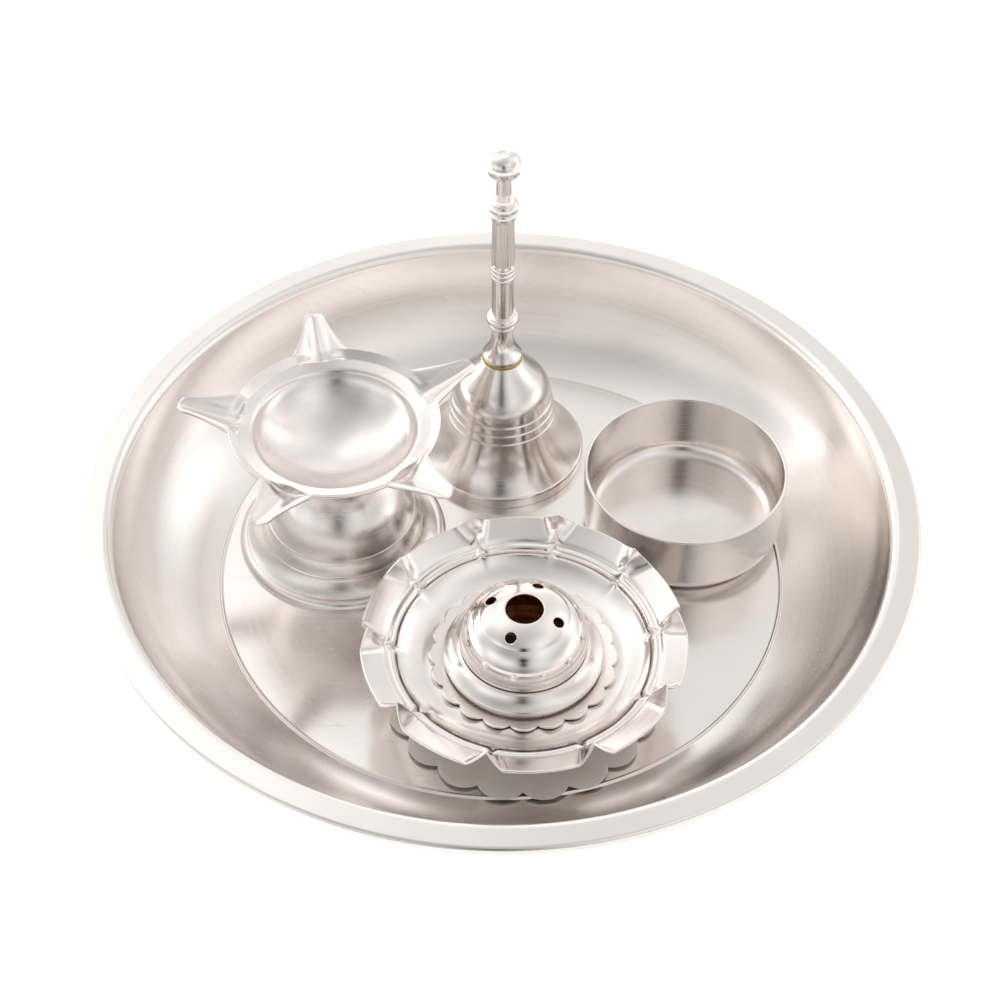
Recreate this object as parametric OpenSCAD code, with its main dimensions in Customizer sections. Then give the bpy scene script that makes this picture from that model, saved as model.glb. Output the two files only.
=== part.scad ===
// A puja thali: a spun silver-plated tray that carries a five-spouted lamp, a hand bell,
// a small cup and an incense stand. All sizes are in millimetres. The origin is the middle
// of the tray's underside, +Z is up and the incense stand is on the -Y side.

/* [Tray] */
// Outer diameter of the tray
thali_d = 254; // [240:1:300]
// Height of the tray's rim over the table
thali_h = 33.8; // [30:0.2:40]
// Sheet thickness of the tray
thali_t = 0.8; // [0.6:0.1:1]
// Diameter of the bead ring round the floor
floor_ring_d = 176.6; // [172:0.2:182]
// Width of the flat rim
rim_w = 6.4; // [4:0.1:9]
// Radius of the bend between the wall and the rim
rim_bend_r = 3; // [2:0.1:4]
// Radius of the turned-down outer edge
rim_edge_r = 1.3; // [1.2:0.05:1.6]
// Slope of the wall just under the rim, in degrees
wall_top_slope = 80; // [74:1:84]
// Height of the bead ring over the floor
floor_bead_h = 0.5; // [0.3:0.05:0.6]

/* [Lamp foot] */
// Lamp's place to the right of the tray's middle
lamp_x = -50.8; // [-53:0.1:-50]
// Lamp's place behind the tray's middle
lamp_y = 13.2; // [12:0.1:16]
// Diameter of the foot where it stands
lamp_foot_d = 66; // [63:0.5:68]
// Height of the foot
lamp_foot_h = 33; // [31:0.5:40]
// Sheet thickness of the foot and the bowl
lamp_t = 0.9; // [0.7:0.1:1.1]
// Diameter of the flat seat between the foot and the bowl
lamp_seat_d = 16; // [14:0.5:18]

/* [Lamp bowl] */
// Diameter of the bowl's rim between the spouts
bowl_d = 64; // [60:0.5:66]
// Height of the bowl's rim over its flat seat
bowl_h = 16.3; // [15:0.1:18]
// Width of the bowl's flared lip
bowl_lip = 2.5; // [2:0.1:3]
// Number of spouts for the wicks
spout_count = 5; // [4:1:5]
// Distance from the bowl's middle to the tip of a spout
spout_reach = 48; // [44:0.5:49]
// Radius of a spout's tip
spout_tip_r = 2.9; // [2.4:0.1:3.2]
// Depth of a spout's channel at the bowl
spout_depth = 3.6; // [3:0.1:4]
// Rise of a spout's tip over the rim
spout_rise = 2.1; // [1:0.1:3]

/* [Bell] */
// Bell's place to the right of the tray's middle
bell_x = -0.2; // [-1:0.1:1]
// Bell's place behind the tray's middle
bell_y = 52; // [50:0.1:54]
// Diameter of the bell's mouth
bell_mouth_d = 54.4; // [52:0.2:57]
// Height of the bell without its handle
bell_body_h = 42; // [40:0.5:46]
// Diameter of the shoulder at the three grooves
bell_shoulder_d = 34; // [32:0.2:36]
// Wall thickness of the bell
bell_t = 1.3; // [1:0.1:1.6]
// Height of the handle over the bell
handle_h = 79.5; // [74:0.5:88]
// Diameter of the handle's shaft
handle_d = 7.2; // [6.6:0.1:7.6]
// Diameter of the handle's flared base
handle_base_d = 12.6; // [12:0.1:13.6]
// Diameter of the handle's knob
knob_d = 11.4; // [10.4:0.1:12]
// Thickness of the brass ring under the handle
bell_ring_t = 0.8; // [0.6:0.1:1.2]

/* [Clapper] */
// Diameter of the clapper's ball
ball_d = 9; // [8:0.5:10]
// Diameter of the wire of the eye, the link and the clapper
wire_d = 1.2; // [1:0.1:1.3]
// Height of the ball's middle over the bell's mouth
ball_z = 9; // [8:0.5:11]

/* [Cup] */
// Cup's place to the right of the tray's middle
cup_x = 58.3; // [57:0.1:60]
// Cup's place behind the tray's middle
cup_y = 20.3; // [19:0.1:23]
// Outer diameter of the cup
cup_d = 64; // [60:0.5:66]
// Height of the cup
cup_h = 23.4; // [20:0.2:30]
// Wall thickness of the cup
cup_t = 1; // [0.8:0.1:1.3]
// Radius inside the cup between the floor and the wall
cup_corner_r = 2.6; // [2:0.1:4]

/* [Incense stand] */
// Stand's place to the right of the tray's middle
stand_x = 6.8; // [5.5:0.1:7.5]
// Stand's place behind the tray's middle
stand_y = -48.8; // [-49:0.1:-48]
// Diameter over the lobes of the base plate
base_d = 82.8; // [78:0.2:83]
// Number of lobes of the base plate
base_lobe_count = 18; // [16:1:20]
// Sheet thickness of the stand
stand_t = 0.7; // [0.6:0.05:0.8]
// Height of the crimped tray's floor over the thali's floor
crimped_floor_h = 15.2; // [14:0.2:18]
// Diameter of the crimped tray
crimped_d = 94.8; // [90:0.2:96]
// Diameter of the ledge inside the crimps
ledge_d = 77; // [74:0.2:80]
// Height of the ledge over the crimped tray's floor
ledge_h = 5.6; // [4.8:0.1:7]
// Rise of the petals from the ledge to their edge
petal_rise = 3.6; // [3:0.1:5]
// Number of petals and of the ridges between them
petal_count = 10; // [8:1:12]
// Height of a ridge over the petals' edge
ridge_h = 4.8; // [3:0.1:6]
// Diameter over the lobes of the small disc
disc_d = 56; // [53:0.2:60]
// Number of lobes of the small disc
disc_lobe_count = 20; // [18:1:24]
// Diameter of the stepped seat under the dome
seat_d = 47.2; // [45:0.2:48]

/* [Dome] */
// Largest diameter of the dome
dome_d = 37.6; // [36:0.2:39]
// Height of the dome's top over the crimped tray's floor
dome_top_h = 21.8; // [21:0.1:24]
// Diameter of the raised cap on the dome
cap_d = 26.6; // [25:0.2:28]
// Diameter of the hole for a dhoop stick
dhoop_hole_d = 11; // [9:0.1:12]
// Diameter of a hole for an incense stick
incense_hole_d = 3.4; // [2.6:0.1:3.6]
// Number of holes for incense sticks
incense_hole_count = 4; // [3:1:5]

/* [Fasteners] */
// Diameter of the screws and studs
screw_d = 4; // [3:0.1:4.4]
// Width across the flats of the nuts
nut_flats = 7; // [6.4:0.1:7.6]
// Height of the nuts
nut_h = 2.4; // [2:0.1:3]
// Outer diameter of the washers
washer_d = 9; // [8.6:0.1:10]
// Thickness of the washers
washer_t = 0.8; // [0.6:0.1:1]

/* [Hidden] */

// Facets of the large and of the small round forms
$fn = 96;
small_fn = 32;
few_fn = 16;
arc_steps = 8;
few_steps = 5;

// Overrun of every cut, and clearances
cut_over = 0.5;
tiny = 0.001;
shaft_clear = 0.1;
wire_clear = 0.1;
nest_clear = 0.35;

// Levels and places that several pieces share
floor_z = thali_t;
rim_r = thali_d / 2;
silver = [0.86, 0.84, 0.82];
bright_silver = [0.9, 0.88, 0.87];
brass = [0.72, 0.58, 0.32];
steel = [0.62, 0.62, 0.63];

// Points on an arc, from one angle to another
function arc(middle, r, from, to, steps = arc_steps) =
    [for (i = [0:steps]) let (a = from + (to - from) * i / steps) middle + r * [cos(a), sin(a)]];

// An arc from one point to another that arrives at a given slope
function arc_to(start, finish, slope, steps = arc_steps) =
    let (way = finish - start,
         chord = atan2(way.y, way.x),
         half_turn = slope - chord,
         r = norm(way) / (2 * sin(half_turn)),
         middle = finish + r * [-sin(slope), cos(slope)])
    [for (i = [0:steps]) let (a = slope - 2 * half_turn * (1 - i / steps))
        middle + r * [sin(a), -cos(a)]];

function unit(v) = v / norm(v);

// The point a sheet's thickness under the point i of a path
function under(path, i, t) =
    let (last = len(path) - 1,
         before = unit(path[max(i, 1)] - path[max(i, 1) - 1]),
         after = unit(path[min(i, last - 1) + 1] - path[min(i, last - 1)]),
         mean = unit(before + after))
    path[i] + t * [mean.y, -mean.x] / (mean * after);

// A path without the points that lie on the point before them
function clean(path) =
    [for (i = [0:len(path) - 1]) if (i == 0 || norm(path[i] - path[max(i, 1) - 1]) > tiny) path[i]];

// The outline of a sheet whose upper side is the path
function sheet(raw, t) =
    let (path = clean(raw))
    concat(path, [for (i = [len(path) - 1:-1:0]) under(path, i, t)]);

module spun(path, t) {
    rotate_extrude() polygon(sheet(path, t));
}

// The underside of a pressed sheet: each point of its rings moved in by the thickness
function backed(rings, t) =
    let (rows = len(rings), columns = len(rings[0]))
    [for (j = [0:rows - 1]) [for (k = [0:columns - 1])
        let (out = rings[min(j + 1, rows - 1)][k] - rings[max(j - 1, 0)][k],
             around = rings[j][(k + 1) % columns] - rings[j][(k + columns - 1) % columns])
        rings[j][k] - t * (j == 0 ? [0, 0, 1] : unit(cross(out, around)))]];

// A pressed sheet between rings of points above and as many below, counted anticlockwise.
// The innermost ring is level and is closed with a flat floor.
module pressed(over, below) {
    rows = len(over);
    columns = len(over[0]);
    count = rows * columns;
    quads = [for (j = [0:rows - 2]) for (k = [0:columns - 1])
        let (a = j * columns + k,
             b = j * columns + (k + 1) % columns)
        [a, b, b + columns, a + columns]];
    edge = (rows - 1) * columns;
    polyhedron(
        points = concat([for (ring = over) for (p = ring) p], [for (ring = below) for (p = ring) p]),
        faces = concat(
            [for (q = quads) [q[0], q[1], q[2]]],
            [for (q = quads) [q[0], q[2], q[3]]],
            [for (q = quads) [q[2] + count, q[1] + count, q[0] + count]],
            [for (q = quads) [q[3] + count, q[2] + count, q[0] + count]],
            [for (k = [0:columns - 1]) let (a = edge + k, b = edge + (k + 1) % columns)
                [a, b, b + count]],
            [for (k = [0:columns - 1]) let (a = edge + k, b = edge + (k + 1) % columns)
                [a, b + count, a + count]],
            [[for (k = [columns - 1:-1:0]) k]],
            [[for (k = [0:columns - 1]) count + k]]),
        convexity = columns);
}

// A flat disc edged with round lobes
module lobed_outline(d, count) {
    lobe_r = d / 2 * sin(180 / count) * lobe_share / (1 + sin(180 / count) * lobe_share);
    lobe_middle_r = d / 2 - lobe_r;
    union() {
        circle(lobe_middle_r * cos(180 / count));
        for (i = [0:count - 1])
            rotate(i * 360 / count)
                translate([lobe_middle_r, 0])
                    circle(lobe_r, $fn = small_fn);
    }
}
lobe_share = 1.32;

module plain_washer(inner_d, outer_d, t) {
    difference() {
        cylinder(h = t, d = outer_d, $fn = small_fn);
        translate([0, 0, -cut_over])
            cylinder(h = t + 2 * cut_over, d = inner_d, $fn = small_fn);
    }
}

module hex_nut(h) {
    difference() {
        cylinder(h = h, d = nut_flats / cos(30), $fn = 6);
        translate([0, 0, -cut_over])
            cylinder(h = h + 2 * cut_over, d = screw_d, $fn = small_fn);
    }
}

// A ring of round wire that stands upright, seen from the front or, turned, from the side
module wire_ring(ring_r, turned) {
    rotate([90, 0, turned ? 90 : 0])
        rotate_extrude($fn = small_fn)
            translate([ring_r, 0])
                circle(d = wire_d, $fn = small_fn);
}

// Tray
floor_bead_w = 1.5;
floor_ring_r = floor_ring_d / 2;
bead_foot_r = floor_ring_r + floor_bead_w / 2;
rim_edge_drop = 0.8;

function thali_path() =
    let (bend_r = rim_r - rim_w,
         wall_top = [bend_r, thali_h - rim_bend_r]
            + rim_bend_r * [-sin(wall_top_slope), cos(wall_top_slope)])
    concat(
        [[0, floor_z], [floor_ring_r - floor_bead_w / 2, floor_z]],
        [[floor_ring_r, floor_z + floor_bead_h]],
        arc_to([bead_foot_r, floor_z], wall_top, wall_top_slope, 3 * arc_steps),
        arc([bend_r, thali_h - rim_bend_r], rim_bend_r, 90 + wall_top_slope, 90),
        arc([rim_r - rim_edge_r, thali_h - rim_edge_r], rim_edge_r, 90, 0),
        [[rim_r, thali_h - rim_edge_r - rim_edge_drop]]);

module thali_plate() {
    color(silver)
        spun(thali_path(), thali_t);
}

// Lamp. Its foot is a hollow spinning with a dome over two steps and a flange.
foot_flange_share = 0.93;
foot_neck_h = 3;
foot_dome_slope = -86;
foot_step_slope = -75;
foot_band_slope = -25;
foot_edge_slope = -80;
foot_flange_h = 2.5;
foot_step_h = 5.2;
foot_ledge_h = 11.2;
foot_step_share = 0.785;
foot_ledge_share = 0.7;
foot_edge_h = 0.8;
foot_line = 0.4;

function foot_path() =
    let (r = lamp_foot_d / 2,
         flange_r = r * foot_flange_share - foot_line,
         step_r = r * foot_step_share,
         ledge_r = r * foot_ledge_share,
         dome_h = lamp_foot_h - foot_neck_h,
         neck_r = lamp_seat_d / 2)
    concat(
        [[screw_d / 2 + shaft_clear, lamp_foot_h], [neck_r, lamp_foot_h]],
        [[neck_r + foot_line, lamp_foot_h - foot_line]],
        arc_to([neck_r, dome_h], [ledge_r, foot_ledge_h], foot_dome_slope),
        [[ledge_r + foot_line, foot_ledge_h]],
        arc_to([ledge_r + foot_line, foot_ledge_h - foot_line], [step_r, foot_step_h + foot_line],
            foot_step_slope, few_steps),
        [[step_r + foot_line, foot_step_h]],
        arc_to([step_r + foot_line, foot_step_h - foot_line], [flange_r, foot_flange_h],
            foot_band_slope, few_steps),
        arc_to([flange_r + foot_line, foot_flange_h + foot_line / 2], [r, foot_edge_h],
            foot_edge_slope, few_steps),
        [[r, 0]]);

module at_lamp() {
    translate([lamp_x, lamp_y, floor_z]) children();
}

module lamp_foot() {
    color(silver)
        at_lamp() spun(foot_path(), lamp_t);
}

// The bowl's upper side between the spouts, as radius and height over its flat seat
bowl_floor_slope = 43;
bowl_wall_slope = 64;
bowl_shoulder_slope = 15;
bowl_lip_slope = 37;
bowl_floor_share = 0.6875;
bowl_floor_level_share = 0.534;
bowl_shoulder_share = 0.79;
wall_top_r = bowl_d / 2 - bowl_lip;
lip_line_z = bowl_h - bowl_lip * tan(bowl_lip_slope);
shoulder_r = bowl_d / 2 * bowl_shoulder_share;
shoulder_z = lip_line_z - (wall_top_r - shoulder_r) * tan(bowl_shoulder_slope);

// A spout's outline runs in a slightly hollow curve from the rim to its round tip
spout_half_angle = 15.5;
spout_first = 30;
spout_hollow = 1.25;
spout_root = bowl_d / 2 * [cos(spout_half_angle), sin(spout_half_angle)];
spout_tip = [spout_reach - spout_tip_r, spout_tip_r];

function spout_half_width(x) =
    let (left = (spout_tip.x - x) / (spout_tip.x - spout_root.x))
    spout_tip.y + (spout_root.y - spout_tip.y) * pow(max(0, min(1, left)), spout_hollow);

// Half a spout's outline from its tip to the rim, and on to the middle between two spouts
function half_outline() =
    let (half = 180 / spout_count)
    concat(
        [for (a = tip_angles) [spout_tip.x + spout_tip_r * cos(a), spout_tip_r * sin(a)]],
        [for (share = side_shares) let (x = spout_root.x + (spout_tip.x - spout_root.x) * share)
            [x, spout_half_width(x)]],
        [for (a = [(spout_half_angle + half) / 2, half]) bowl_d / 2 * [cos(a), sin(a)]]);

// The rim's line bulges a little into the bowl at the root of every spout
function rim_line_r(angle) =
    wall_top_r - (abs(angle) > bump_half_angle ? 0 : rim_bump * (1 + cos(180 * angle / bump_half_angle)) / 2);

// Height of a spout's channel under the lip's slope and the line from the rim to its tip
function channel_z(x, y, depth) =
    let (out = (x - bowl_d / 2) / (spout_reach - bowl_d / 2),
         width = spout_half_width(x),
         lip = tan(bowl_lip_slope) * min(0, norm([x, y]) - bowl_d / 2))
    bowl_h + lip + spout_rise * max(0, out) - depth * max(0, 1 - abs(y) / max(width, spout_tip_r));

rim_bump = 1.2;
bump_half_angle = 14;
rim_lean = 0.4;
tip_angles = [0, 35, 70];
side_shares = [0.9, 0.7, 0.5, 0.3, 0.14, 0];
wall_shares = [0.5, 1];
spout_rows = [[0.14, 1], [0.4, 0.85], [0.7, 0.6], [1, 0.25]];

// Each column of the bowl: its angle from the nearest spout, its angle on the bowl and its edge's radius
function bowl_columns() =
    let (side = half_outline(),
         last = len(side) - 1)
    [for (s = [0:spout_count - 1]) for (i = [1 - last:last])
        let (p = side[abs(i)],
             a = sign(i) * atan2(p.y, p.x))
        [a, spout_first + s * 360 / spout_count + a, norm(p)]];

function ring_at(r, z, columns) = [for (c = columns) [r * cos(c[1]), r * sin(c[1]), z]];

// The bowl's rings up to the line of its rim
function inner_rings() =
    let (columns = bowl_columns(),
         floor_end = [bowl_d / 2 * bowl_floor_share, bowl_h * bowl_floor_level_share],
         profile = clean(concat(
            arc_to([lamp_seat_d / 2, 0], floor_end, bowl_floor_slope, few_steps),
            arc_to(floor_end, [shoulder_r, shoulder_z], bowl_wall_slope, few_steps))))
    concat(
        [for (p = profile) ring_at(p.x, p.y, columns)],
        [for (share = wall_shares) [for (c = columns)
            let (r = shoulder_r + (rim_line_r(c[0]) - shoulder_r) * share)
            [r * cos(c[1]), r * sin(c[1]), shoulder_z + (lip_line_z - shoulder_z) * share]]]);

// The rings of the lip and the spouts
function spout_rings() =
    [for (row = spout_rows) [for (c = bowl_columns())
        let (line_r = rim_line_r(c[0]),
             r = line_r + (c[2] - line_r) * row[0],
             inside = abs(c[0]) <= spout_half_angle)
        [r * cos(c[1]), r * sin(c[1]), inside
            ? channel_z(r * cos(c[0]), r * sin(c[0]), spout_depth * row[1])
            : bowl_h - tan(bowl_lip_slope) * (bowl_d / 2 - r)]]];

// Their underside leans out at the rim's line, so that the folded sheet keeps its thickness
function leaned(rings) =
    let (columns = bowl_columns(), last = len(rings) - 1)
    [for (j = [0:last]) [for (k = [0:len(columns) - 1])
        let (lean = rim_lean * (1 - j / last))
        rings[j][k] + lamp_t * [lean * cos(columns[k][1]), lean * sin(columns[k][1]), -1]]];

module lamp_bowl() {
    inner = inner_rings();
    outer = concat([inner[len(inner) - 1]], spout_rings());
    inner_below = backed(inner, lamp_t);
    color(silver)
        at_lamp()
            translate([0, 0, lamp_foot_h + stud_flange_t + lamp_t])
                pressed(concat(inner, spout_rings()),
                    concat([for (j = [0:len(inner) - 2]) inner_below[j]], leaned(outer)));
}

// The stud is soldered under the bowl and clamped in the foot's top
stud_flange_t = 0.8;
stud_spare = 1;
lamp_clamp_t = lamp_t + washer_t + nut_h;

module lamp_stud() {
    color(steel)
        at_lamp()
            translate([0, 0, lamp_foot_h])
                union() {
                    cylinder(h = stud_flange_t, d = lamp_seat_d - 2 * foot_line, $fn = small_fn);
                    translate([0, 0, -lamp_clamp_t - stud_spare])
                        cylinder(h = lamp_clamp_t + stud_spare, d = screw_d, $fn = small_fn);
                }
}

module lamp_washer() {
    color(steel)
        at_lamp()
            translate([0, 0, lamp_foot_h - lamp_t - washer_t])
                plain_washer(screw_d + 2 * shaft_clear, washer_d, washer_t);
}

module lamp_nut() {
    color(steel)
        at_lamp()
            translate([0, 0, lamp_foot_h - lamp_clamp_t])
                hex_nut(nut_h);
}

// Bell. The body flares from a grooved shoulder to a lipped mouth.
bell_crown_r = 6.6;
groove_zone_low_share = 0.452;
groove_zone_high_share = 0.62;
groove_level_shares = [0.462, 0.536, 0.61];
groove_wire_r = 0.45;
groove_out = 0.15;
lip_h = 4;
lip_w = 0.7;
mouth_slope = -40;
shoulder_slope = -86;
bell_neck_slope = -46;
bell_neck_share = 0.74;
bell_neck_level_share = 0.82;

function bell_path() =
    let (mouth_r = bell_mouth_d / 2,
         low = [bell_shoulder_d / 2 + lip_w, bell_body_h * groove_zone_low_share],
         high = [bell_shoulder_d / 2 - lip_w, bell_body_h * groove_zone_high_share],
         neck = [bell_shoulder_d * bell_neck_share / 2, bell_body_h * bell_neck_level_share])
    concat(
        [[screw_d / 2 + shaft_clear, bell_body_h]],
        arc_to([bell_crown_r, bell_body_h], neck, bell_neck_slope, few_steps),
        arc_to(neck, high, shoulder_slope),
        arc_to(low, [mouth_r - lip_w, lip_h], mouth_slope),
        arc([mouth_r - lip_w, lip_h - lip_w], lip_w, 90, 0, 3),
        [[mouth_r, 0]]);

module at_bell() {
    translate([bell_x, bell_y, floor_z]) children();
}

module bell_body() {
    color(bright_silver)
        at_bell()
            difference() {
                spun(bell_path(), bell_t);
                for (level = groove_level_shares)
                    bell_groove(level);
            }
}

// Each groove is cut where the shoulder's slope passes its level
module bell_groove(level) {
    along = (groove_zone_high_share - level) / (groove_zone_high_share - groove_zone_low_share);
    rotate_extrude()
        translate([bell_shoulder_d / 2 - lip_w + 2 * lip_w * along + groove_out, bell_body_h * level])
            circle(groove_wire_r, $fn = few_fn);
}

module bell_ring() {
    color(brass)
        at_bell()
            translate([0, 0, bell_body_h])
                plain_washer(screw_d + 2 * shaft_clear, handle_base_d + 2 * ring_show, bell_ring_t);
}
ring_show = 0.3;

// Handle, turned in one piece with its threaded end. Heights are shares of its length.
shaft_r = handle_d / 2;
base_top_share = 0.016;
neck_share = 0.125;
low_collar_share = 0.157;
low_collar_split_share = 0.18;
low_collar_top_share = 0.222;
mid_bead_share = 0.405;
mid_bead_top_share = 0.472;
high_collar_share = 0.711;
high_collar_split_share = 0.741;
high_collar_top_share = 0.788;
throat_share = 0.83;
knob_share = 0.902;
knob_wide_share = 0.952;
slim_share = 0.94;
throat_slim_share = 0.8;
collar_grow_share = 1.42;
high_collar_grow_share = 1.34;
small_collar_grow_share = 1.19;
bead_grow_share = 1.04;
flare_slope = 92;
knob_top_slope = 175;
knob_flat_share = 0.33;
flute_count = 10;
flute_r = 0.45;
flute_reach_share = 0.94;

// A half-round bead between two heights
function bead(r, grow, z0, z1, steps = few_steps) =
    [for (i = [0:steps]) let (a = -90 + 180 * i / steps)
        [r + (grow - r) * cos(a), (z0 + z1) / 2 + (z1 - z0) / 2 * sin(a)]];

function handle_path() =
    let (h = handle_h - bell_ring_t,
         base_r = handle_base_d / 2,
         slim_r = shaft_r * slim_share,
         throat_r = shaft_r * throat_slim_share,
         knob_r = knob_d / 2,
         bead_h = (mid_bead_top_share - mid_bead_share) * h / 3)
    concat(
        [[0, 0], [base_r, 0]],
        arc_to([base_r, base_top_share * h], [slim_r, neck_share * h], flare_slope, few_steps),
        bead(slim_r, shaft_r * small_collar_grow_share, low_collar_share * h, low_collar_split_share * h),
        bead(slim_r, shaft_r * collar_grow_share, low_collar_split_share * h, low_collar_top_share * h),
        [for (i = [0:2]) for (p = bead(slim_r, shaft_r * bead_grow_share,
            mid_bead_share * h + i * bead_h, mid_bead_share * h + (i + 1) * bead_h)) p],
        [[shaft_r, (mid_bead_top_share + tiny) * h]],
        bead(shaft_r, shaft_r * small_collar_grow_share, high_collar_share * h,
            high_collar_split_share * h),
        bead(slim_r, shaft_r * high_collar_grow_share, high_collar_split_share * h,
            high_collar_top_share * h),
        [[throat_r, throat_share * h]],
        arc_to([throat_r, knob_share * h], [knob_r, knob_wide_share * h], 90, few_steps),
        arc_to([knob_r, knob_wide_share * h], [knob_r * knob_flat_share, h], knob_top_slope),
        [[0, h]]);

module bell_handle() {
    h = handle_h - bell_ring_t;
    thread = bell_ring_t + bell_t + washer_t + nut_h;
    color(bright_silver)
        at_bell()
            translate([0, 0, bell_body_h + bell_ring_t])
                union() {
                    difference() {
                        rotate_extrude() polygon(clean(handle_path()));
                        for (i = [0:flute_count - 1])
                            rotate(i * 360 / flute_count)
                                translate([shaft_r + flute_r / 2, 0, flute_middle_share * h])
                                    cylinder(h = flute_length_share * h, r = flute_r, center = true,
                                        $fn = few_fn);
                    }
                    translate([0, 0, -thread])
                        cylinder(h = thread, d = screw_d, $fn = small_fn);
                }
}
flute_middle_share = (mid_bead_top_share + high_collar_share) / 2;
flute_length_share = (high_collar_share - mid_bead_top_share) * flute_reach_share;

// Inside the bell the thread holds a washer and a nut with an eye
bell_nut_z = bell_body_h - bell_t - washer_t;

module bell_washer() {
    color(steel)
        at_bell()
            translate([0, 0, bell_nut_z])
                plain_washer(screw_d + 2 * shaft_clear, washer_d, washer_t);
}

eye_share = 1.8;
link_share = 2.5;
eye_r = wire_d * eye_share;
link_r = wire_d * link_share;
nut_cap_t = 1;
eye_z = bell_nut_z - nut_h - nut_cap_t - eye_r;
link_pin_z = eye_z - eye_r + wire_d + wire_clear;
rod_pin_z = link_pin_z - 2 * link_r + wire_d + wire_clear;

module bell_eye_nut() {
    color(steel)
        at_bell()
            union() {
                translate([0, 0, bell_nut_z - nut_h])
                    hex_nut(nut_h);
                translate([0, 0, bell_nut_z - nut_h - nut_cap_t])
                    cylinder(h = nut_cap_t, d = nut_flats / cos(30), $fn = 6);
                translate([0, 0, eye_z])
                    wire_ring(eye_r, true);
            }
}

// The clapper hangs from the eye by one link: the link swings about X and the rod about Y
module clapper_link() {
    color(steel)
        at_bell()
            translate([0, 0, link_pin_z - link_r])
                wire_ring(link_r, false);
}

module clapper_rod() {
    ring_z = rod_pin_z - eye_r;
    color(steel)
        at_bell()
            union() {
                translate([0, 0, ring_z])
                    wire_ring(eye_r, true);
                translate([0, 0, ball_z + ball_d / 2])
                    cylinder(h = ring_z - eye_r - ball_z - ball_d / 2, d = wire_d, $fn = small_fn);
            }
}

module clapper_ball() {
    color(steel)
        at_bell()
            translate([0, 0, ball_z])
                difference() {
                    sphere(d = ball_d);
                    translate([0, 0, ball_d / 2 - ball_flat])
                        cylinder(h = ball_d, d = ball_d);
                }
}
ball_flat = 0.2;

// Cup. It stands with its outer side on the bead ring, and so it leans by the bead's height.
cup_foot_r = cup_d / 2 - cup_t - cup_corner_r;
cup_reach = norm([cup_x, cup_y]);
cup_rest = (pow(floor_ring_r, 2) - pow(cup_reach, 2) - pow(cup_foot_r, 2)) / (2 * cup_reach);
cup_lean = cup_reach + cup_foot_r > floor_ring_r - floor_bead_w / 2
    ? asin(floor_bead_h / (cup_foot_r + min(cup_foot_r, cup_rest))) : 0;

module at_cup() {
    translate([cup_x, cup_y, floor_z])
        rotate(atan2(cup_y, cup_x))
            translate([-cup_foot_r, 0, 0])
                rotate([0, -cup_lean, 0])
                    translate([cup_foot_r, 0, 0])
                        children();
}

function cup_path() =
    let (inner_r = cup_d / 2 - cup_t)
    concat(
        [[0, cup_t]],
        arc([inner_r - cup_corner_r, cup_t + cup_corner_r], cup_corner_r, -90, 0),
        [[inner_r, cup_h]]);

module cup_body() {
    color(silver)
        at_cup()
            union() {
                spun(cup_path(), cup_t);
                translate([0, 0, cup_h])
                    rotate_extrude()
                        translate([cup_d / 2 - cup_t / 2, 0])
                            circle(d = cup_t, $fn = few_fn);
            }
}

// Incense stand. The base plate is dished up at its lobes, over a low boss for the nut.
base_flat_share = 0.66;
base_lift = 1.1;
boss_r = 9;
boss_h = nut_h + stud_spare;
boss_slope_w = 3;
pedestal_foot_share = 0.56;
pedestal_waist_share = 0.3;
pedestal_waist_level_share = 0.6;
pedestal_waist_slope = -90;
pedestal_foot_slope = -12;
pedestal_top_share = 0.42;
pedestal_top_z = crimped_floor_h - stand_t;

module at_stand() {
    translate([stand_x, stand_y, floor_z]) children();
}

function base_path() =
    [[screw_d / 2 + shaft_clear, boss_h + stand_t], [boss_r, boss_h + stand_t],
     [boss_r + boss_slope_w, stand_t], [base_d / 2 * base_flat_share, stand_t],
     [base_d / 2 + cut_over, stand_t + base_lift]];

module stand_base() {
    color(silver)
        at_stand()
            intersection() {
                spun(base_path(), stand_t);
                translate([0, 0, -cut_over])
                    linear_extrude(boss_h + 2 * stand_t + 2 * cut_over)
                        lobed_outline(base_d, base_lobe_count);
            }
}

function pedestal_path() =
    let (foot_r = base_d / 2 * pedestal_foot_share,
         waist = [base_d / 2 * pedestal_waist_share, pedestal_top_z * pedestal_waist_level_share],
         top_r = base_d / 2 * pedestal_top_share)
    concat(
        [[screw_d / 2 + shaft_clear, pedestal_top_z], [top_r, pedestal_top_z]],
        arc_to([top_r, pedestal_top_z], waist, pedestal_waist_slope, few_steps),
        arc_to(waist, [foot_r, stand_t + stand_t], pedestal_foot_slope, few_steps),
        [[foot_r, stand_t]]);

module stand_pedestal() {
    color(silver)
        at_stand() spun(pedestal_path(), stand_t);
}

// The crimped tray: a flat trough, a round step up to a ledge, and petals between ridges
trough_share = 0.84;
step_shares = [[0, 0], [0.5, 0.1], [0.8, 0.4], [0.95, 0.8]];
petal_rows = [0, 0.1, 0.4, 0.7, 1];
ridge_half_w = 5.4;
ridge_root_half_w = 1.6;
ridge_pull = 2.6;
kink_out = 1.6;
ridge_first = 4.5;
ridge_sway = 4;
ridge_sway_from = -20;

function crimp_columns() =
    [for (s = [0:petal_count - 1]) for (c = [[-1, 0], [0, 0], [1, 0], [1, 0.2], [1, 0.4], [1, 0.6], [1, 0.8]])
        [s, c[0], c[1]]];

// The angle of a column: on a ridge, at its foot, or a share of the way over a petal
function crimp_angle(c, r, half_w) =
    let (foot = asin(half_w / r),
         here = ridge_angle(c[0]),
         next = ridge_angle(c[0] + 1))
    here + c[1] * foot + c[2] * (next - here - 2 * foot);

// The ridges are crimped by hand and sway a little from their even places
function ridge_angle(i) =
    let (even = i * 360 / petal_count)
    ridge_first + even + ridge_sway * cos(even - ridge_sway_from);

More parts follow.
